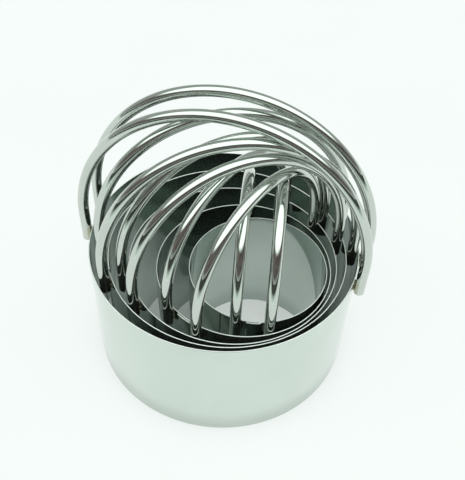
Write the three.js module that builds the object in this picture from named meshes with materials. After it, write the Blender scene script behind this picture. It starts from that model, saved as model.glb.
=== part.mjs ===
// Nested set of round pastry cutters in polished stainless steel.
// Each cutter is a rolled sheet band, open at both ends, with a handle of two parallel arched wires
// welded to its outside. The cutters stand one inside the other on the same surface.
// Millimetres, +Z up, origin on the largest band's axis at the surface the set stands on.

import * as THREE from 'three';

// Sheet bands
const SMALLEST_BAND_DIAMETER = 47.4;
const BAND_HEIGHT = 47.7;
const SHEET_THICKNESS = 0.4;

// Overlapped joint that closes each band, placed between the two legs at one end of its handle
const LAP_LAYER_GAP = 0.2;
const LAP_TO_LEG = 1.5;
const JOGGLE_LENGTH = 1.2;

// Handle wires
const WIRE_DIAMETER = 3.7;
const LEG_WELD_GAP = 0.3;
const LEG_OVERLAP = 6;
const LEG_RISE = 6.3;
const SMALLEST_ARCH_RISE = 28.4;

// Least distance between one cutter and the next when they are nested
const NEST_CLEARANCE = 0.3;

// Cutters from the smallest to the largest.
// handleTurn: degrees from +X to the line between the handle's feet.
// wireSpacing: distance between the centre lines of the handle's two wires.
// restsTowards: degrees from +X to the side on which the cutter leans inside the next larger one.
// slack: how much wider the band is than it must be to slip over the next smaller cutter's legs.
// headroom: clear height between the top of this handle and that of the next smaller one.
const CUTTERS = [
  { name: 'smallest', handleTurn: 85.4, wireSpacing: 10.9, restsTowards: -5 },
  { name: 'small', handleTurn: 51.2, wireSpacing: 12.6, restsTowards: -39, slack: 1.5, headroom: 2.1 },
  { name: 'middle', handleTurn: 23.9, wireSpacing: 11.2, restsTowards: -66, slack: 1.3, headroom: 3.5 },
  { name: 'large', handleTurn: 10.8, wireSpacing: 14.6, restsTowards: -75, slack: 1, headroom: 1.2 },
  { name: 'largest', handleTurn: -12.6, wireSpacing: 12.7, slack: 1.3, headroom: 1.6 },
];

// Facets of the solids
const BAND_STEPS = 80;
const LAP_STEPS = 4;
const JOGGLE_STEPS = 4;
const WIRE_SIDES = 8;
const WIRE_STEPS = 36;

const STEEL_COLOUR = 0xd3d9d6;
const BAND_ROUGHNESS = 0.1;
const WIRE_ROUGHNESS = 0.08;

const WIRE_RADIUS = WIRE_DIAMETER / 2;
const SHOULDER_HEIGHT = BAND_HEIGHT + LEG_RISE;
const LAP_STEP_OUT = SHEET_THICKNESS + LAP_LAYER_GAP;

function polishedSteel(roughness) {
  return new THREE.MeshStandardMaterial({ color: STEEL_COLOUR, metalness: 1, roughness });
}

// Half the distance between a wire's legs, which stand against the outside of the band.
function halfSpan(cutter) {
  const legReach = cutter.radius + LEG_WELD_GAP + WIRE_RADIUS;
  return Math.sqrt(legReach ** 2 - (cutter.wireSpacing / 2) ** 2);
}

// Each band slips over the legs of the next smaller cutter, and each handle passes over its handle.
function sizeCutters() {
  let radius = SMALLEST_BAND_DIAMETER / 2;
  let archRise = SMALLEST_ARCH_RISE;
  CUTTERS.forEach((cutter, index) => {
    if (index > 0) {
      radius += LEG_WELD_GAP + WIRE_DIAMETER + NEST_CLEARANCE + cutter.slack + SHEET_THICKNESS;
      archRise += WIRE_DIAMETER + cutter.headroom;
    }
    cutter.radius = radius;
    cutter.archRise = archRise;
    cutter.halfSpan = halfSpan(cutter);
  });
}

// How far a cutter can move towards a direction before one round of it, at a place seen from its own
// axis, comes up to a round wall.
function travelToWall(direction, place, roundRadius, wallRadius) {
  const reach = wallRadius - NEST_CLEARANCE - roundRadius;
  const along = direction.dot(place);
  return Math.sqrt(along ** 2 + reach ** 2 - place.lengthSq()) - along;
}

// Each cutter leans towards one side of the next larger one until its band or a leg comes up to it.
function placeCutters() {
  const largest = CUTTERS[CUTTERS.length - 1];
  largest.centre = new THREE.Vector2(0, 0);
  for (let index = CUTTERS.length - 2; index >= 0; index -= 1) {
    const cutter = CUTTERS[index];
    const outer = CUTTERS[index + 1];
    const wallRadius = outer.radius - SHEET_THICKNESS;
    const turn = THREE.MathUtils.degToRad(cutter.handleTurn);
    const side = THREE.MathUtils.degToRad(cutter.restsTowards);
    const direction = new THREE.Vector2(Math.cos(side), Math.sin(side));
    const origin = new THREE.Vector2(0, 0);
    const travels = [travelToWall(direction, origin, cutter.radius, wallRadius)];
    for (const end of [-1, 1]) {
      for (const wire of [-1, 1]) {
        const leg = new THREE.Vector2(end * cutter.halfSpan, (wire * cutter.wireSpacing) / 2);
        leg.rotateAround(origin, turn);
        travels.push(travelToWall(direction, leg, WIRE_RADIUS, wallRadius));
      }
    }
    cutter.centre = outer.centre.clone().addScaledVector(direction, Math.min(...travels));
  }
}

// The strip's run round the axis: a list of turns, each with how far the strip stands out there.
// It starts at the lap's outer end, steps in over the joggle and goes round to under its own start.
function stripRun(cutter) {
  const lapLength = cutter.wireSpacing - WIRE_DIAMETER - 2 * LAP_TO_LEG;
  const lapTurn = lapLength / cutter.radius;
  const joggleTurn = JOGGLE_LENGTH / cutter.radius;
  const lapStart = Math.PI - lapTurn / 2;
  const run = [];
  for (let i = 0; i < LAP_STEPS; i += 1) {
    run.push({ turn: lapStart + (lapTurn * i) / LAP_STEPS, out: LAP_STEP_OUT });
  }
  for (let i = 0; i < JOGGLE_STEPS; i += 1) {
    const part = i / JOGGLE_STEPS;
    const out = (LAP_STEP_OUT * (1 + Math.cos(Math.PI * part))) / 2;
    run.push({ turn: lapStart + lapTurn + joggleTurn * part, out });
  }
  const roundStart = lapStart + lapTurn + joggleTurn;
  const roundTurn = 2 * Math.PI - joggleTurn;
  for (let i = 0; i <= BAND_STEPS; i += 1) {
    run.push({ turn: roundStart + (roundTurn * i) / BAND_STEPS, out: 0 });
  }
  return run;
}

function bandMesh(cutter) {
  const at = ({ turn, out }, radius) =>
    new THREE.Vector2(Math.cos(turn), Math.sin(turn)).multiplyScalar(radius + out);
  const run = stripRun(cutter);
  const outside = run.map((step) => at(step, cutter.radius));
  const inside = run.map((step) => at(step, cutter.radius - SHEET_THICKNESS));
  const outline = new THREE.Shape(outside.concat(inside.reverse()));
  const geometry = new THREE.ExtrudeGeometry(outline, { depth: BAND_HEIGHT, bevelEnabled: false });
  const mesh = new THREE.Mesh(geometry, polishedSteel(BAND_ROUGHNESS));
  mesh.name = `${cutter.name}_band`;
  return mesh;
}

// Upper half of an ellipse in the plane of a handle wire.
class HandleArch extends THREE.Curve {
  constructor(halfWidth, rise, offset) {
    super();
    this.halfWidth = halfWidth;
    this.rise = rise;
    this.offset = offset;
  }

  getPoint(t, target = new THREE.Vector3()) {
    const angle = Math.PI * (1 - t);
    const x = this.halfWidth * Math.cos(angle);
    const z = SHOULDER_HEIGHT + this.rise * Math.sin(angle);
    return target.set(x, this.offset, z);
  }
}

function wireMesh(cutter, label, offset) {
  const footHeight = BAND_HEIGHT - LEG_OVERLAP;
  const legPoint = (end, height) => new THREE.Vector3(end * cutter.halfSpan, offset, height);
  const path = new THREE.CurvePath();
  path.add(new THREE.LineCurve3(legPoint(-1, footHeight), legPoint(-1, SHOULDER_HEIGHT)));
  path.add(new HandleArch(cutter.halfSpan, cutter.archRise, offset));
  path.add(new THREE.LineCurve3(legPoint(1, SHOULDER_HEIGHT), legPoint(1, footHeight)));
  const section = new THREE.Shape();
  for (let i = 0; i < WIRE_SIDES; i += 1) {
    const turn = (2 * Math.PI * (i + 0.5)) / WIRE_SIDES;
    const corner = [WIRE_RADIUS * Math.cos(turn), WIRE_RADIUS * Math.sin(turn)];
    if (i === 0) section.moveTo(...corner);
    else section.lineTo(...corner);
  }
  const geometry = new THREE.ExtrudeGeometry(section, { steps: WIRE_STEPS, extrudePath: path });
  const mesh = new THREE.Mesh(geometry, polishedSteel(WIRE_ROUGHNESS));
  mesh.name = `${cutter.name}_${label}_wire`;
  return mesh;
}

function cutterGroup(cutter) {
  const group = new THREE.Group();
  group.position.set(cutter.centre.x, cutter.centre.y, 0);
  group.rotation.z = THREE.MathUtils.degToRad(cutter.handleTurn);
  group.add(bandMesh(cutter));
  group.add(wireMesh(cutter, 'rear', cutter.wireSpacing / 2));
  group.add(wireMesh(cutter, 'front', -cutter.wireSpacing / 2));
  return group;
}

sizeCutters();
placeCutters();

const cutterSet = new THREE.Group();
CUTTERS.forEach((cutter) => cutterSet.add(cutterGroup(cutter)));

export default cutterSet;
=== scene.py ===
import math

import bmesh
import bpy
from bpy.props import FloatProperty, FloatVectorProperty, IntProperty, PointerProperty
from mathutils import Matrix, Vector


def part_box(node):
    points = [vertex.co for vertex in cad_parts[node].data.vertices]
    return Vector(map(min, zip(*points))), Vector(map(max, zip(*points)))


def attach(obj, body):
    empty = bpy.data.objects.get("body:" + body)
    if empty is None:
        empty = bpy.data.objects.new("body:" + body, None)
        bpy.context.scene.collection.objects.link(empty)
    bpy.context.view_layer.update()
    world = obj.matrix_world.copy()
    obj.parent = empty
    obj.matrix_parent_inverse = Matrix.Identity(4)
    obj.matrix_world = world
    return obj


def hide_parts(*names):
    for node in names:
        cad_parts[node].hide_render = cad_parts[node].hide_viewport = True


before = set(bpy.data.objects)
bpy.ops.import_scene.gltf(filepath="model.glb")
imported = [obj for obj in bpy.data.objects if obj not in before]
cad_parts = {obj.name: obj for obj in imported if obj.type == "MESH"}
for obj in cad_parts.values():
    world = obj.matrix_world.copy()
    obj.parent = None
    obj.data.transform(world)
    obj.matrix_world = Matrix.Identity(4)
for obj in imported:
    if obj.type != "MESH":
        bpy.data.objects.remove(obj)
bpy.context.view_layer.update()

bl_info = {
    "name": "Nested Round Pastry Cutters",
    "version": (1, 0, 0),
    "blender": (4, 5, 0),
    "location": "View3D > Sidebar > Cutters",
    "description": "Polished steel ring cutters with twin wire handles, nested on a white table",
    "category": "Object",
}

MM = 0.001

CUTTER_NAMES = ("smallest", "small", "middle", "large", "largest")

# The two wires of a handle, each with the side of the handle's middle plane on which it stands.
HANDLE_WIRES = {"rear": 1, "front": -1}

# Vertices this near to a wire's lowest point belong to its cut feet. Places that agree to this many
# decimals are one corner.
FOOT_SLICE = 0.01 * MM
CORNER_DECIMALS = 6

# Heights of a leg's two welds above its cut end, and a nugget's half sizes outwards, round the band and up.
WELD_HEIGHTS = (1.6 * MM, 4.3 * MM)
NUGGET = Vector((0.45 * MM, 0.95 * MM, 1.1 * MM))
NUGGET_SUBDIVISIONS = 3

# How far from a weld its heat has tinted the sheet and the wire.
SHEET_HEAT_REACH = 0.8 * MM
WIRE_HEAT_REACH = 2.2 * MM

# Rows of vertices below a band's rim that carry the heat tint.
HEAT_ROWS = 8
HEAT_ROW_GAP = 1.5 * MM

# Facets on the rounded edges of the strip and of the wire's cut ends.
EDGE_FACETS = 2
WIRE_END_FACETS = 3

# Edges that turn by more than this stay sharp under smooth shading.
SHARP_TURN = math.radians(18)

# Distances from the strip's cut edges at which its matt surface starts and is complete.
SHEARED_START = 0.05 * MM
SHEARED_FULL = 0.02 * MM

# Heights at which the painted shade of the lower edge, standing in for the table's shadow reflected there,
# starts and is darkest.
BASE_SHADE_START = 12 * MM
BASE_SHADE_FULL = 0.3 * MM

# Half sizes of the table and of the dark sheet before it, a painted reflection of the unlit space in front
# of the table, and where the sheet starts, how far its edge fades and how high it lies.
TABLE_HALF = 3
DARK_SHEET_HALF = 8
DARK_SHEET_EDGE = -0.15
DARK_SHEET_FADE = 0.16
DARK_SHEET_LIFT = 1 * MM

# Rim of the light overhead, as cosines from its middle, and how directions narrow from left to right
# to lengthen it.
SOFTBOX_OUTSIDE = 0.74
SOFTBOX_INSIDE = 0.86
SOFTBOX_NARROWING = (0.4, 1, 1)

# Room's turn from its lit to its dark side, and heights over the horizon at which the dark side sets in
# and the table's white ends. All are parts of a direction of length 1.
ROOM_TURN = 0.25
DARK_FROM = 0.02
DARK_FULL = 0.14
SWEEP_END = 0.006

SENSOR_WIDTH = 36
NEAREST_SEEN = 1 * MM

# Sockets of the Mix node, by number because their names repeat, and its settings for colours.
FACTOR = 0
NUMBER_A, NUMBER_B = 2, 3
COLOUR_A, COLOUR_B = 6, 7
COLOUR_OUT = 2
BLENDED = {"data_type": "RGBA"}
MULTIPLIED = {"data_type": "RGBA", "blend_type": "MULTIPLY"}


def linear(hex_colour):
    """Scene-linear red, green and blue of an sRGB hex colour."""
    channels = [int(hex_colour[i:i + 2], 16) / 255 for i in (1, 3, 5)]
    return [c / 12.92 if c <= 0.04045 else ((c + 0.055) / 1.055) ** 2.4 for c in channels]


def rgba(colour):
    """A colour property as the four numbers that a shader socket takes."""
    return (*colour, 1.0)


class CutterSizes(bpy.types.PropertyGroup):
    """Sizes of the sheet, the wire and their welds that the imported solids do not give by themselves."""

    sheet: FloatProperty(
        name="Sheet thickness", description="Thickness of the rolled strip",
        default=0.4 * MM, precision=5, unit="LENGTH")
    edge_round: FloatProperty(
        name="Edge rounding", description="Radius left on the strip's edges by deburring",
        default=0.15 * MM, precision=5, unit="LENGTH")
    lap_gap: FloatProperty(
        name="Lap layer gap", description="Gap between the two layers of the lap",
        default=0.2 * MM, precision=5, unit="LENGTH")
    lap_to_leg: FloatProperty(
        name="Lap to leg", description="Distance from each end of the lap to the leg beside it",
        default=1.5 * MM, precision=5, unit="LENGTH")
    joggle: FloatProperty(
        name="Joggle length", description="Length over which the outer layer steps over the inner one",
        default=1.2 * MM, precision=5, unit="LENGTH")
    wire: FloatProperty(
        name="Wire diameter", description="Diameter of the handle wire",
        default=3.7 * MM, precision=5, unit="LENGTH")
    weld_gap: FloatProperty(
        name="Weld gap", description="Gap between a leg and the band that the welds bridge",
        default=0.3 * MM, precision=5, unit="LENGTH")
    leg_rise: FloatProperty(
        name="Leg rise", description="Height above the band at which a leg starts to bend into the arch",
        default=6.3 * MM, precision=5, unit="LENGTH")
    end_round: FloatProperty(
        name="Wire end rounding", description="Radius on the cut ends of the wire",
        default=0.3 * MM, precision=5, unit="LENGTH")
    strip_steps: IntProperty(
        name="Strip steps", description="Facets along each rolled strip", default=288, min=48)
    wire_steps: IntProperty(
        name="Wire steps", description="Facets along each bent wire", default=144, min=24)
    wire_sides: IntProperty(
        name="Wire sides", description="Facets round each wire", default=28, min=8)


class SteelColours(bpy.types.PropertyGroup):
    """Colours of the steel and of its heat tint."""

    sheet: FloatVectorProperty(
        name="Sheet", description="Mirror-polished stainless sheet",
        default=linear("#D5DFD8"), subtype="COLOR", min=0, max=1)
    # Darker colour of the inner face: painted shade for the dim light inside the rings.
    inner: FloatVectorProperty(
        name="Inner face", description="Inner face of the rolled sheet, buffed less than the outer one",
        default=linear("#BDC8C2"), subtype="COLOR", min=0, max=1)
    sheared: FloatVectorProperty(
        name="Sheared edge", description="Matt cut edge of the sheet",
        default=linear("#F2F4F2"), subtype="COLOR", min=0, max=1)
    wire: FloatVectorProperty(
        name="Wire", description="Bright drawn stainless wire",
        default=linear("#CED4CE"), subtype="COLOR", min=0, max=1)
    straw: FloatVectorProperty(
        name="Straw tint", description="Thin oxide a little away from a weld",
        default=linear("#C4C0AE"), subtype="COLOR", min=0, max=1)
    scorched: FloatVectorProperty(
        name="Scorched tint", description="Thick oxide at a weld",
        default=linear("#857F75"), subtype="COLOR", min=0, max=1)


class StageSettings(bpy.types.PropertyGroup):
    """Table, studio light and camera."""

    table: FloatVectorProperty(
        name="Table", description="White table top",
        default=linear("#F7FCFA"), subtype="COLOR", min=0, max=1)
    table_glow: FloatProperty(
        name="Table glow", description="Share of the table's own white that shade does not darken",
        default=0.85, min=0, max=1, subtype="FACTOR")
    gap_glow: FloatProperty(
        name="Gap glow", description="Share of that white which is left in the narrow gaps between rings",
        default=0.08, min=0, max=1, subtype="FACTOR")
    shade_reach: FloatProperty(
        name="Shade reach", description="How near a wall has to stand to shade the table",
        default=60 * MM, precision=5, unit="LENGTH")
    lit_side: FloatVectorProperty(
        name="Lit side", description="Grey wall of the room behind the cutters",
        default=linear("#A9AEAB"), subtype="COLOR", min=0, max=1)
    dark_side: FloatVectorProperty(
        name="Dark side", description="Unlit side of the room behind the camera",
        default=linear("#665D5B"), subtype="COLOR", min=0, max=1)
    # Painted reflection: colour of the dark sheet that stands for the unlit space in front of the table in
    # the steel.
    dark_sheet: FloatVectorProperty(
        name="Drape", description="Dark cloth before the table",
        default=linear("#3C3C38"), subtype="COLOR", min=0, max=1)
    softbox: FloatVectorProperty(
        name="Softbox", description="Wide soft light overhead",
        default=linear("#F3FFF8"), subtype="COLOR", min=0, max=1)
    softbox_strength: FloatProperty(
        name="Softbox strength", description="Brightness of the light overhead", default=1.9)
    softbox_tilt: FloatProperty(
        name="Softbox tilt", description="How far the light overhead stands towards the camera",
        default=math.radians(14.5), subtype="ANGLE")
    camera_place: FloatVectorProperty(
        name="Camera place", description="Place of the camera",
        default=(-0.03 * MM, -170.23 * MM, 229.47 * MM), precision=5, subtype="TRANSLATION")
    camera_yaw: FloatProperty(
        name="Yaw", description="Turn of the camera to the right",
        default=math.radians(0.956), subtype="ANGLE")
    camera_pitch: FloatProperty(
        name="Pitch", description="How far the camera looks down",
        default=math.radians(46.907), subtype="ANGLE")
    camera_roll: FloatProperty(
        name="Roll", description="Turn of the camera about its view",
        default=math.radians(2.691), subtype="ANGLE")
    lens: FloatProperty(
        name="Lens", description="Focal length on a 36 mm sensor", default=52.756, unit="CAMERA")


def foot_centres(node):
    """Centres of a handle wire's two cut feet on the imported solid, the left one first."""
    lowest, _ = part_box(node)
    low = [v.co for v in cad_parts[node].data.vertices if v.co.z < lowest.z + FOOT_SLICE]
    corners = [Vector(corner) for corner in {place.to_tuple(CORNER_DECIMALS) for place in low}]
    middle = sum(corners, Vector()) / len(corners)
    along = max(corners, key=lambda corner: (corner - middle).length) - middle
    feet = []
    for side in (-1, 1):
        members = [corner for corner in corners if side * along.dot(corner - middle) > 0]
        feet.append(sum(members, Vector()) / len(members))
    return sorted(feet, key=lambda foot: foot.x)


class NestedCutter:
    """Place and size of one cutter, read from its packed band and wires."""

    def __init__(self, name, sizes):
        self.name = name
        self.body = f"{name}_cutter"
        self.band_node = f"{name}_band"
        self.wire_nodes = {label: f"{name}_{label}_wire" for label in HANDLE_WIRES}
        self.feet = {label: foot_centres(node) for label, node in self.wire_nodes.items()}
        feet = [foot for pair in self.feet.values() for foot in pair]
        self.foot_height = feet[0].z
        self.axis = (sum(feet, Vector()) / len(feet)).to_2d().to_3d()
        across = self.feet["rear"][1] - self.feet["rear"][0]
        self.along = across.normalized()
        self.sideways = Vector((-self.along.y, self.along.x, 0))
        self.half_span = across.length / 2
        self.wire_spacing = (self.feet["rear"][0] - self.feet["front"][0]).length
        corners = [v.co.to_2d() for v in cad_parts[self.band_node].data.vertices]
        self.radius = min((corner - self.axis.to_2d()).length for corner in corners) + sizes.sheet
        self.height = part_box(self.band_node)[1].z
        self.shoulder = self.height + sizes.leg_rise
        self.arch_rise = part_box(self.wire_nodes["rear"])[1].z - sizes.wire / 2 - self.shoulder

    def place(self, along, sideways, height):
        """Point in the frame from distances along and across the handle."""
        return self.axis + self.along * along + self.sideways * sideways + Vector((0, 0, height))

    def weld_spots(self, sizes):
        """Points between wire and sheet where the legs are welded on, each with its way outwards."""
        spots = []
        for feet in self.feet.values():
            for foot in feet:
                outward = (foot - self.axis).to_2d().normalized().to_3d()
                for height in WELD_HEIGHTS:
                    at = self.axis + outward * (self.radius + sizes.weld_gap / 2)
                    spots.append((at + Vector((0, 0, self.foot_height + height)), outward))
        return spots


def nested_cutters():
    """The cutters of the set, from the smallest to the largest."""
    sizes = bpy.context.scene.cutter_sizes
    return [NestedCutter(name, sizes) for name in CUTTER_NAMES]


def add_node(tree, kind, inputs=None, **settings):
    """Adds a shader node, sets its properties, and sets or links its inputs."""
    node = tree.nodes.new(kind)
    for name, value in settings.items():
        setattr(node, name, value)
    for socket, value in (inputs or {}).items():
        if isinstance(value, bpy.types.NodeSocket):
            tree.links.new(value, node.inputs[socket])
        else:
            node.inputs[socket].default_value = value
    return node


def new_material(name):
    """An empty node material and its tree."""
    material = bpy.data.materials.new(name)
    material.use_nodes = True
    material.node_tree.nodes.clear()
    return material, material.node_tree


def heat_tinted(tree, base, colours):
    """Steel colour going through straw to scorched brown where the weld attribute rises."""
    heat = add_node(tree, "ShaderNodeAttribute", attribute_name="weld_heat").outputs["Fac"]
    straw = add_node(
        tree, "ShaderNodeMapRange", {"Value": heat, "From Min": 0.05, "From Max": 0.45},
        interpolation_type="SMOOTHSTEP")
    scorch = add_node(
        tree, "ShaderNodeMapRange", {"Value": heat, "From Min": 0.6, "From Max": 1.0},
        interpolation_type="SMOOTHSTEP")
    for share, tint in ((straw, colours.straw), (scorch, colours.scorched)):
        base = add_node(
            tree, "ShaderNodeMix",
            {FACTOR: share.outputs[0], COLOUR_A: base, COLOUR_B: rgba(tint)}, **BLENDED).outputs[COLOUR_OUT]
    return base


def polished_sheet(colours, height):
    """Mirror-rolled stainless sheet: a clear but slightly soft mirror.

    Rolling leaves lines too fine to see one by one that only blur the mirror along the strip, and the
    thin strip is never quite flat, so reflections swim a little. Its inner face has a darker colour,
    painted shade for the dim light inside the rings. Its sheared and deburred edges are matt and catch
    the light all round as a thin pale line, and its colour darkens towards the lower edge with painted
    shade, for the table's shadow reflected at the foot of the band.
    """
    material, tree = new_material("mirror_rolled_stainless_sheet")
    strip = add_node(tree, "ShaderNodeUVMap", uv_map="strip").outputs["UV"]
    place = add_node(tree, "ShaderNodeTexCoord").outputs["Object"]
    grain_places = add_node(tree, "ShaderNodeMapping", {"Vector": strip, "Scale": (1, 24, 1)})
    grain = add_node(
        tree, "ShaderNodeTexNoise",
        {"Vector": grain_places.outputs[0], "Scale": 1 / (14 * MM), "Detail": 4.0, "Roughness": 0.6})
    polish = add_node(
        tree, "ShaderNodeMapRange",
        {"Value": grain.outputs[0], "From Min": 0.3, "From Max": 0.7, "To Min": 0.05, "To Max": 0.1})
    upward = add_node(tree, "ShaderNodeSeparateXYZ", {0: strip}).outputs["Y"]
    from_middle = add_node(tree, "ShaderNodeMath", {0: upward, 1: height / 2}, operation="SUBTRACT")
    from_middle = add_node(tree, "ShaderNodeMath", {0: from_middle.outputs[0]}, operation="ABSOLUTE")
    sheared = add_node(
        tree, "ShaderNodeMapRange",
        {"Value": from_middle.outputs[0],
         "From Min": height / 2 - SHEARED_START, "From Max": height / 2 - SHEARED_FULL}).outputs[0]
    roughness = add_node(
        tree, "ShaderNodeMix", {FACTOR: sheared, NUMBER_A: polish.outputs[0], NUMBER_B: 0.5})
    metal = add_node(tree, "ShaderNodeMix", {FACTOR: sheared, NUMBER_A: 0.97, NUMBER_B: 0.15})
    # Painted shade: the inner face takes the darker inner colour, for the dim light inside the rings.
    inside = add_node(tree, "ShaderNodeAttribute", attribute_name="inner_face").outputs["Fac"]
    base = add_node(
        tree, "ShaderNodeMix",
        {FACTOR: inside, COLOUR_A: rgba(colours.sheet), COLOUR_B: rgba(colours.inner)}, **BLENDED)
    cloud = add_node(
        tree, "ShaderNodeTexNoise",
        {"Vector": place, "Scale": 1 / (22 * MM), "Detail": 2.0, "Roughness": 0.5})
    clouded = add_node(
        tree, "ShaderNodeMapRange",
        {"Value": cloud.outputs[0], "From Min": 0.3, "From Max": 0.7, "To Min": 0.95, "To Max": 1.0})
    # Painted shade: the sheet's colour darkens towards its lower edge, for the table's shadow at its foot
    # that it reflects.
    painted_base_shade = add_node(
        tree, "ShaderNodeMapRange",
        {"Value": upward, "From Min": BASE_SHADE_START, "From Max": BASE_SHADE_FULL, "To Min": 1.0, "To Max": 0.84},
        interpolation_type="SMOOTHERSTEP")
    # Multiplies in the random clouds and the painted shade of the lower edge.
    for shade in (clouded, painted_base_shade):
        base = add_node(
            tree, "ShaderNodeMix",
            {FACTOR: 1.0, COLOUR_A: base.outputs[COLOUR_OUT], COLOUR_B: shade.outputs[0]}, **MULTIPLIED)
    base = add_node(
        tree, "ShaderNodeMix",
        {FACTOR: sheared, COLOUR_A: base.outputs[COLOUR_OUT], COLOUR_B: rgba(colours.sheared)}, **BLENDED)
    wave = add_node(
        tree, "ShaderNodeTexNoise",
        {"Vector": place, "Scale": 1 / (30 * MM), "Detail": 1.0, "Roughness": 0.4})
    bump = add_node(
        tree, "ShaderNodeBump", {"Strength": 0.12, "Distance": 1 * MM, "Height": wave.outputs[0]})
    shader = add_node(tree, "ShaderNodeBsdfPrincipled", {
        "Base Color": heat_tinted(tree, base.outputs[COLOUR_OUT], colours),
        "Metallic": metal.outputs[0], "Roughness": roughness.outputs[0], "Normal": bump.outputs[0]})
    add_node(tree, "ShaderNodeOutputMaterial", {"Surface": shader.outputs[0]})
    return material


def drawn_wire(colours):
    """Bright drawn stainless wire: a sharp mirror stretched along the wire.

    The die leaves faint lines along the wire, and bending rubs them a little duller in places.
    """
    material, tree = new_material("bright_drawn_stainless_wire")
    stock = add_node(tree, "ShaderNodeUVMap", uv_map="stock").outputs["UV"]
    place = add_node(tree, "ShaderNodeTexCoord").outputs["Object"]
    line_places = add_node(tree, "ShaderNodeMapping", {"Vector": stock, "Scale": (1, 0.03, 1)})
    lines = add_node(
        tree, "ShaderNodeTexNoise",
        {"Vector": line_places.outputs[0], "Scale": 1 / (0.7 * MM), "Detail": 3.0, "Roughness": 0.6})
    rubbed = add_node(
        tree, "ShaderNodeTexNoise",
        {"Vector": place, "Scale": 1 / (9 * MM), "Detail": 2.0, "Roughness": 0.5})
    wear = add_node(
        tree, "ShaderNodeMath", {0: lines.outputs[0], 1: rubbed.outputs[0]}, operation="MULTIPLY")
    roughness = add_node(
        tree, "ShaderNodeMapRange",
        {"Value": wear.outputs[0], "From Min": 0.12, "From Max": 0.42, "To Min": 0.05, "To Max": 0.1})
    shade = add_node(
        tree, "ShaderNodeMapRange",
        {"Value": rubbed.outputs[0], "From Min": 0.3, "From Max": 0.7, "To Min": 0.94, "To Max": 1.0})
    base = add_node(
        tree, "ShaderNodeMix",
        {FACTOR: 1.0, COLOUR_A: rgba(colours.wire), COLOUR_B: shade.outputs[0]}, **MULTIPLIED)
    bump = add_node(
        tree, "ShaderNodeBump", {"Strength": 0.04, "Distance": 0.1 * MM, "Height": lines.outputs[0]})
    shader = add_node(tree, "ShaderNodeBsdfPrincipled", {
        "Base Color": heat_tinted(tree, base.outputs[COLOUR_OUT], colours),
        "Metallic": 0.97, "Roughness": roughness.outputs[0], "Normal": bump.outputs[0]})
    add_node(tree, "ShaderNodeOutputMaterial", {"Surface": shader.outputs[0]})
    return material


def weld_metal(colours):
    """Steel squeezed out and cooled in air at a resistance weld: dull, brown and finely pitted."""
    material, tree = new_material("air_cooled_weld_metal")
    place = add_node(tree, "ShaderNodeTexCoord").outputs["Object"]
    pits = add_node(
        tree, "ShaderNodeTexNoise",
        {"Vector": place, "Scale": 1 / (0.5 * MM), "Detail": 3.0, "Roughness": 0.6})
    base = add_node(
        tree, "ShaderNodeMix",
        {FACTOR: pits.outputs[0], COLOUR_A: rgba(colours.scorched), COLOUR_B: rgba(colours.straw)},
        **BLENDED)
    roughness = add_node(
        tree, "ShaderNodeMapRange",
        {"Value": pits.outputs[0], "From Min": 0.3, "From Max": 0.7, "To Min": 0.28, "To Max": 0.5})
    bump = add_node(
        tree, "ShaderNodeBump", {"Strength": 0.5, "Distance": 0.1 * MM, "Height": pits.outputs[0]})
    shader = add_node(tree, "ShaderNodeBsdfPrincipled", {
        "Base Color": base.outputs[COLOUR_OUT], "Metallic": 1.0,
        "Roughness": roughness.outputs[0], "Normal": bump.outputs[0]})
    add_node(tree, "ShaderNodeOutputMaterial", {"Surface": shader.outputs[0]})
    return material


def table_top(stage):
    """White melamine board: matt, very slightly uneven in tone.

    It shows its own white, as an evenly lit board does, and falls back to plain shading where walls
    stand close round it: in the narrow gaps between the rings and a little inside the smallest one.
    Where walls stand closest, its colour is also darkened a little as painted contact shade.
    """
    material, tree = new_material("white_melamine_table")
    place = add_node(tree, "ShaderNodeTexCoord").outputs["Object"]
    cloud = add_node(
        tree, "ShaderNodeTexNoise",
        {"Vector": place, "Scale": 1 / (90 * MM), "Detail": 2.0, "Roughness": 0.5})
    clouded = add_node(
        tree, "ShaderNodeMapRange",
        {"Value": cloud.outputs[0], "From Min": 0.3, "From Max": 0.7, "To Min": 0.985, "To Max": 1.0})
    open_sky = add_node(
        tree, "ShaderNodeAmbientOcclusion", {"Distance": stage.shade_reach}).outputs["AO"]
    # Painted contact shade: the table's colour darkens by up to 9 % where walls stand close, in the white
    # it shows as well as in its shaded colour.
    contact = add_node(
        tree, "ShaderNodeMapRange",
        {"Value": open_sky, "From Min": 0.5, "From Max": 0.66, "To Min": 0.91, "To Max": 1.0})
    shade = add_node(
        tree, "ShaderNodeMath", {0: clouded.outputs[0], 1: contact.outputs[0]}, operation="MULTIPLY")
    base = add_node(
        tree, "ShaderNodeMix",
        {FACTOR: 1.0, COLOUR_A: rgba(stage.table), COLOUR_B: shade.outputs[0]}, **MULTIPLIED)
    shaded = add_node(tree, "ShaderNodeBsdfPrincipled", {
        "Base Color": base.outputs[COLOUR_OUT], "Roughness": 0.75, "Specular IOR Level": 0.2})
    white = add_node(tree, "ShaderNodeEmission", {"Color": base.outputs[COLOUR_OUT], "Strength": 1.0})
    share = add_node(
        tree, "ShaderNodeMapRange",
        {"Value": open_sky, "From Min": 0.07, "From Max": 0.24,
         "To Min": stage.gap_glow, "To Max": stage.table_glow})
    ray = add_node(tree, "ShaderNodeLightPath").outputs
    seen = ray["Is Camera Ray"]
    for other in ("Is Glossy Ray", "Is Transmission Ray"):
        seen = add_node(tree, "ShaderNodeMath", {0: seen, 1: ray[other]}, operation="MAXIMUM").outputs[0]
    glow = add_node(tree, "ShaderNodeMath", {0: seen, 1: share.outputs[0]}, operation="MULTIPLY")
    mixed = add_node(
        tree, "ShaderNodeMixShader", {0: glow.outputs[0], 1: shaded.outputs[0], 2: white.outputs[0]})
    add_node(tree, "ShaderNodeOutputMaterial", {"Surface": mixed.outputs[0]})
    return material


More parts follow.
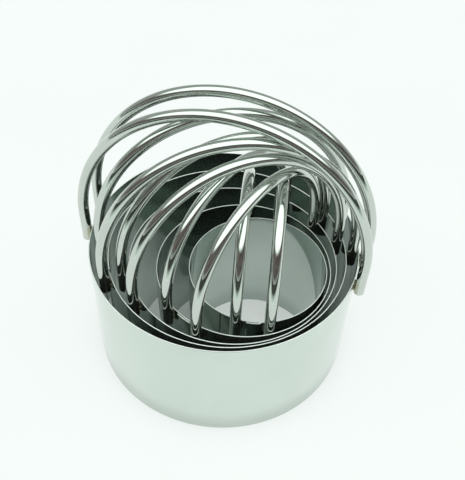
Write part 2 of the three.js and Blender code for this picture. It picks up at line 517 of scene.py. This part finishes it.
def painted_dark_reflection(stage):
    """Painted reflection: a matt sheet that goes from the table's white to dark, for the unlit space in
    front of the table, so that the steel shows no hard edge of it.
    """
    material, tree = new_material("painted_dark_reflection")
    place = add_node(tree, "ShaderNodeTexCoord").outputs["Object"]
    front = add_node(tree, "ShaderNodeSeparateXYZ", {0: place}).outputs["Y"]
    depth = add_node(
        tree, "ShaderNodeMapRange",
        {"Value": front, "From Min": DARK_SHEET_EDGE, "From Max": DARK_SHEET_EDGE - DARK_SHEET_FADE})
    base = add_node(
        tree, "ShaderNodeMix",
        {FACTOR: depth.outputs[0], COLOUR_A: rgba(stage.table), COLOUR_B: rgba(stage.dark_sheet)}, **BLENDED)
    shader = add_node(tree, "ShaderNodeBsdfPrincipled", {
        "Base Color": base.outputs[COLOUR_OUT], "Roughness": 1.0, "Specular IOR Level": 0.0})
    add_node(tree, "ShaderNodeOutputMaterial", {"Surface": shader.outputs[0]})
    return material


def add_piece(bm, name, material):
    """Turns a finished bmesh into a smooth-shaded object whose sharp edges stay sharp."""
    bm.normal_update()
    bmesh.ops.recalc_face_normals(bm, faces=bm.faces)
    for face in bm.faces:
        face.smooth = True
    for edge in bm.edges:
        edge.smooth = edge.calc_face_angle(0) < SHARP_TURN
    mesh = bpy.data.meshes.new(name)
    bm.to_mesh(mesh)
    bm.free()
    mesh.materials.append(material)
    piece = bpy.data.objects.new(name, mesh)
    bpy.context.scene.collection.objects.link(piece)
    return piece


def mark_weld_heat(bm, spots, reach):
    """Stores on each vertex how hot the nearest weld made it, from 0 to 1."""
    layer = bm.verts.layers.float.new("weld_heat")
    for vert in bm.verts:
        nearest = min((vert.co - spot).length for spot, _ in spots)
        vert[layer] = math.exp(-((nearest / reach) ** 2))


def mark_inner_face(bm, thickness):
    """Stores 1 on each vertex of the flat strip that lies nearer to its inner face, and 0 on the others."""
    layer = bm.verts.layers.float.new("inner_face")
    for vert in bm.verts:
        vert[layer] = float(vert.co.y < -thickness / 2)


def map_flat(bm, name, flat_place):
    """Keeps the flat place of the unformed stock as a UV map, in metres."""
    layer = bm.loops.layers.uv.new(name)
    for face in bm.faces:
        for loop in face.loops:
            loop[layer].uv = flat_place(loop.vert.co)


def flat_strip(length, height, sizes):
    """A strip of sheet along X with its outer face at Y 0, deburred edges and cross cuts for rolling."""
    bm = bmesh.new()
    middle = Vector((length / 2, -sizes.sheet / 2, height / 2))
    bmesh.ops.create_cube(
        bm, size=1, matrix=Matrix.LocRotScale(middle, None, Vector((length, sizes.sheet, height))))
    bmesh.ops.bevel(
        bm, geom=bm.edges[:], offset=sizes.edge_round, segments=EDGE_FACETS, profile=0.5,
        affect="EDGES", material=-1)
    runs = [edge for edge in bm.edges if abs(edge.verts[0].co.x - edge.verts[1].co.x) > length / 2]
    bmesh.ops.subdivide_edges(bm, edges=runs, cuts=sizes.strip_steps - 1, use_grid_fill=True)
    for row in range(1, HEAT_ROWS + 1):
        geometry = bm.verts[:] + bm.edges[:] + bm.faces[:]
        bmesh.ops.bisect_plane(
            bm, geom=geometry, plane_co=(0, 0, height - row * HEAT_ROW_GAP), plane_no=(0, 0, 1))
    map_flat(bm, "strip", lambda place: (place.x, place.z))
    mark_inner_face(bm, sizes.sheet)
    return bm


def roll_strip(bm, cutter, sizes, lap_turn):
    """Rolls the strip into a ring whose start steps out over its end and laps it."""
    joggle_turn = sizes.joggle / cutter.radius
    step_out = sizes.sheet + sizes.lap_gap
    lap_start = math.pi - lap_turn / 2
    for vert in bm.verts:
        turn = vert.co.x / cutter.radius
        part = min(max((turn - lap_turn) / joggle_turn, 0), 1)
        reach = cutter.radius + vert.co.y + step_out * (1 + math.cos(math.pi * part)) / 2
        angle = lap_start + turn
        vert.co = cutter.place(reach * math.cos(angle), reach * math.sin(angle), vert.co.z)


def straight_wire(length, sizes):
    """A straight length of wire standing on the origin, with its cut ends rounded off."""
    bm = bmesh.new()
    bmesh.ops.create_cone(
        bm, cap_ends=True, cap_tris=False, segments=sizes.wire_sides,
        radius1=sizes.wire / 2, radius2=sizes.wire / 2, depth=length,
        matrix=Matrix.Translation((0, 0, length / 2)))
    rims = [edge for edge in bm.edges if abs(edge.verts[0].co.z - edge.verts[1].co.z) < length / 2]
    bmesh.ops.bevel(
        bm, geom=rims, offset=sizes.end_round, segments=WIRE_END_FACETS, profile=0.5,
        affect="EDGES", material=-1)
    runs = [edge for edge in bm.edges if abs(edge.verts[0].co.z - edge.verts[1].co.z) > length / 2]
    bmesh.ops.subdivide_edges(bm, edges=runs, cuts=sizes.wire_steps - 1, use_grid_fill=True)
    radius = sizes.wire / 2
    map_flat(bm, "stock", lambda place: (radius * math.atan2(place.y, place.x), place.z))
    return bm


def wire_length(cutter):
    """Length of a handle wire: two legs and half of an ellipse, whose girth is a close estimate."""
    a, b = cutter.half_span, cutter.arch_rise
    half_ellipse = math.pi / 2 * (3 * (a + b) - math.sqrt((3 * a + b) * (a + 3 * b)))
    return half_ellipse + 2 * (cutter.shoulder - cutter.foot_height)


def bend_wire(bm, cutter, sideways, length):
    """Bends the straight wire into a leg, a half-elliptic arch and a second leg."""
    leg = cutter.shoulder - cutter.foot_height
    arch = length - 2 * leg
    for vert in bm.verts:
        run = vert.co.z
        angle = math.pi * (1 - min(max((run - leg) / arch, 0), 1))
        below = max(leg - run, run - leg - arch, 0)
        cosine, sine = math.cos(angle), math.sin(angle)
        centre = Vector((cutter.half_span * cosine, cutter.shoulder + cutter.arch_rise * sine - below))
        outward = Vector((cutter.arch_rise * cosine, cutter.half_span * sine)).normalized()
        at = centre + outward * vert.co.x
        vert.co = cutter.place(at.x, sideways + vert.co.y, at.y)


class CUTTERS_OT_roll_bands(bpy.types.Operator):
    """Roll a lapped ring of polished sheet for each cutter"""

    bl_idname = "cutters.roll_bands"
    bl_label = "Roll Bands"

    def execute(self, context):
        sizes = context.scene.cutter_sizes
        cutters = nested_cutters()
        material = polished_sheet(context.scene.steel_colours, cutters[0].height)
        for cutter in cutters:
            lap_length = cutter.wire_spacing - sizes.wire - 2 * sizes.lap_to_leg
            lap_turn = lap_length / cutter.radius
            bm = flat_strip((2 * math.pi + lap_turn) * cutter.radius, cutter.height, sizes)
            roll_strip(bm, cutter, sizes, lap_turn)
            mark_weld_heat(bm, cutter.weld_spots(sizes), SHEET_HEAT_REACH)
            band = add_piece(bm, f"{cutter.name}_rolled_band", material)
            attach(band, cutter.body)
            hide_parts(cutter.band_node)
        return {"FINISHED"}


class CUTTERS_OT_bend_wires(bpy.types.Operator):
    """Bend the two arched wires of each cutter's handle"""

    bl_idname = "cutters.bend_wires"
    bl_label = "Bend Handle Wires"

    def execute(self, context):
        sizes = context.scene.cutter_sizes
        material = drawn_wire(context.scene.steel_colours)
        for cutter in nested_cutters():
            length = wire_length(cutter)
            for label, side in HANDLE_WIRES.items():
                bm = straight_wire(length, sizes)
                bend_wire(bm, cutter, side * cutter.wire_spacing / 2, length)
                mark_weld_heat(bm, cutter.weld_spots(sizes), WIRE_HEAT_REACH)
                wire = add_piece(bm, f"{cutter.name}_{label}_bent_wire", material)
                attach(wire, cutter.body)
                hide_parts(cutter.wire_nodes[label])
        return {"FINISHED"}


class CUTTERS_OT_weld_feet(bpy.types.Operator):
    """Add the weld nuggets that hold each handle's feet to its band"""

    bl_idname = "cutters.weld_feet"
    bl_label = "Weld Handle Feet"

    def execute(self, context):
        sizes = context.scene.cutter_sizes
        material = weld_metal(context.scene.steel_colours)
        for cutter in nested_cutters():
            bm = bmesh.new()
            for spot, outward in cutter.weld_spots(sizes):
                turn = Matrix.Rotation(math.atan2(outward.y, outward.x), 3, "Z").to_quaternion()
                bmesh.ops.create_icosphere(
                    bm, subdivisions=NUGGET_SUBDIVISIONS, radius=1,
                    matrix=Matrix.LocRotScale(spot, turn, NUGGET))
            welds = add_piece(bm, f"{cutter.name}_weld_nuggets", material)
            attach(welds, cutter.body)
        return {"FINISHED"}


class CUTTERS_OT_set_stage(bpy.types.Operator):
    """Set the table, the studio light and the camera"""

    bl_idname = "cutters.set_stage"
    bl_label = "Set Stage"

    def execute(self, context):
        stage = context.scene.cutter_stage
        self.lay_table(stage)
        self.lay_dark_sheet(stage)
        self.light_room(context.scene, stage)
        self.aim_camera(context.scene, stage)
        context.scene.view_settings.view_transform = "Standard"
        return {"FINISHED"}

    def lay_table(self, stage):
        """The table top, at the height on which the cutters stand."""
        bm = bmesh.new()
        bmesh.ops.create_grid(bm, x_segments=1, y_segments=1, size=TABLE_HALF)
        add_piece(bm, "table_top", table_top(stage))

    def lay_dark_sheet(self, stage):
        """The dark sheet before the table, a painted reflection of the unlit space in front of it, which
        only reflections show.
        """
        bm = bmesh.new()
        bmesh.ops.create_grid(bm, x_segments=1, y_segments=1, size=DARK_SHEET_HALF)
        bmesh.ops.translate(bm, vec=(0, DARK_SHEET_EDGE - DARK_SHEET_HALF, DARK_SHEET_LIFT), verts=bm.verts)
        dark_sheet = add_piece(bm, "dark_reflection_sheet", painted_dark_reflection(stage))
        dark_sheet.visible_camera = False
        dark_sheet.visible_diffuse = False
        dark_sheet.visible_shadow = False

    def softbox_share(self, tree, way, stage):
        """How much of the light overhead stands in a direction, from 0 to 1."""
        towards = (0, -math.sin(stage.softbox_tilt), math.cos(stage.softbox_tilt))
        narrowed = add_node(
            tree, "ShaderNodeVectorMath", {0: way, 1: SOFTBOX_NARROWING}, operation="MULTIPLY")
        narrowed = add_node(
            tree, "ShaderNodeVectorMath", {0: narrowed.outputs[0]}, operation="NORMALIZE")
        overhead = add_node(
            tree, "ShaderNodeVectorMath", {0: narrowed.outputs[0], 1: towards}, operation="DOT_PRODUCT")
        return add_node(
            tree, "ShaderNodeMapRange",
            {"Value": overhead.outputs["Value"], "From Min": SOFTBOX_OUTSIDE, "From Max": SOFTBOX_INSIDE},
            interpolation_type="SMOOTHSTEP").outputs[0]

    def room_colour(self, tree, way, way_parts, stage):
        """Grey room behind the cutters that turns to an uneven dark side behind the camera."""
        front = add_node(
            tree, "ShaderNodeMapRange",
            {"Value": way_parts["Y"], "From Min": ROOM_TURN, "From Max": -ROOM_TURN},
            interpolation_type="SMOOTHSTEP")
        raised = add_node(
            tree, "ShaderNodeMapRange",
            {"Value": way_parts["Z"], "From Min": DARK_FROM, "From Max": DARK_FULL},
            interpolation_type="SMOOTHSTEP")
        front = add_node(
            tree, "ShaderNodeMath", {0: front.outputs[0], 1: raised.outputs[0]}, operation="MULTIPLY")
        clutter = add_node(tree, "ShaderNodeTexNoise", {"Vector": way, "Scale": 5.0, "Detail": 3.0})
        clutter = add_node(
            tree, "ShaderNodeMapRange",
            {"Value": clutter.outputs[0], "From Min": 0.35, "From Max": 0.65,
             "To Min": 0.45, "To Max": 1.5})
        dark = add_node(
            tree, "ShaderNodeMix",
            {FACTOR: 1.0, COLOUR_A: rgba(stage.dark_side), COLOUR_B: clutter.outputs[0]}, **MULTIPLIED)
        return add_node(
            tree, "ShaderNodeMix",
            {FACTOR: front.outputs[0], COLOUR_A: rgba(stage.lit_side), COLOUR_B: dark.outputs[COLOUR_OUT]},
            **BLENDED).outputs[COLOUR_OUT]

    def light_room(self, scene, stage):
        """The room's light: the softbox overhead, the room round it and the table's white below."""
        world = bpy.data.worlds.new("pale_studio_room")
        world.use_nodes = True
        tree = world.node_tree
        tree.nodes.clear()
        way = add_node(tree, "ShaderNodeTexCoord").outputs["Generated"]
        way_parts = add_node(tree, "ShaderNodeSeparateXYZ", {0: way}).outputs
        softbox = self.softbox_share(tree, way, stage)
        sweep = add_node(
            tree, "ShaderNodeMapRange", {"Value": way_parts["Z"], "From Min": SWEEP_END, "From Max": 0.0})
        colour = self.room_colour(tree, way, way_parts, stage)
        for share, tint in ((softbox, stage.softbox), (sweep.outputs[0], stage.table)):
            colour = add_node(
                tree, "ShaderNodeMix",
                {FACTOR: share, COLOUR_A: colour, COLOUR_B: rgba(tint)}, **BLENDED).outputs[COLOUR_OUT]
        strength = add_node(
            tree, "ShaderNodeMapRange", {"Value": softbox, "To Min": 1.0, "To Max": stage.softbox_strength})
        background = add_node(
            tree, "ShaderNodeBackground", {"Color": colour, "Strength": strength.outputs[0]})
        add_node(tree, "ShaderNodeOutputWorld", {"Surface": background.outputs[0]})
        scene.world = world

    def aim_camera(self, scene, stage):
        """The camera, from its place, its turns and its lens."""
        lens = bpy.data.cameras.new("front_camera")
        lens.lens = stage.lens
        lens.sensor_width = SENSOR_WIDTH
        lens.clip_start = NEAREST_SEEN
        camera = bpy.data.objects.new("front_camera", lens)
        turn = Matrix.Rotation(-stage.camera_yaw, 4, "Z")
        tip = Matrix.Rotation(math.pi / 2 - stage.camera_pitch, 4, "X")
        roll = Matrix.Rotation(stage.camera_roll, 4, "Z")
        camera.matrix_world = Matrix.Translation(stage.camera_place) @ turn @ tip @ roll
        scene.collection.objects.link(camera)
        scene.camera = camera


class CUTTERS_PT_pieces(bpy.types.Panel):
    """Pieces of the nested cutters"""

    bl_label = "Pastry Cutters"
    bl_idname = "CUTTERS_PT_pieces"
    bl_space_type = "VIEW_3D"
    bl_region_type = "UI"
    bl_category = "Cutters"

    def draw(self, context):
        scene = context.scene
        for settings in (scene.cutter_sizes, scene.steel_colours, scene.cutter_stage):
            for name in settings.__annotations__:
                self.layout.prop(settings, name)
        for operator in OPERATORS:
            self.layout.operator(operator.bl_idname)


OPERATORS = (CUTTERS_OT_roll_bands, CUTTERS_OT_bend_wires, CUTTERS_OT_weld_feet, CUTTERS_OT_set_stage)
SETTINGS = {"cutter_sizes": CutterSizes, "steel_colours": SteelColours, "cutter_stage": StageSettings}
CLASSES = (*SETTINGS.values(), *OPERATORS, CUTTERS_PT_pieces)


def register():
    for cls in CLASSES:
        bpy.utils.register_class(cls)
    for name, settings in SETTINGS.items():
        setattr(bpy.types.Scene, name, PointerProperty(type=settings))


def unregister():
    for name in SETTINGS:
        delattr(bpy.types.Scene, name)
    for cls in reversed(CLASSES):
        bpy.utils.unregister_class(cls)


def main():
    register()
    bpy.ops.cutters.roll_bands()
    bpy.ops.cutters.bend_wires()
    bpy.ops.cutters.weld_feet()
    bpy.ops.cutters.set_stage()


if __name__ == "__main__":
    main()
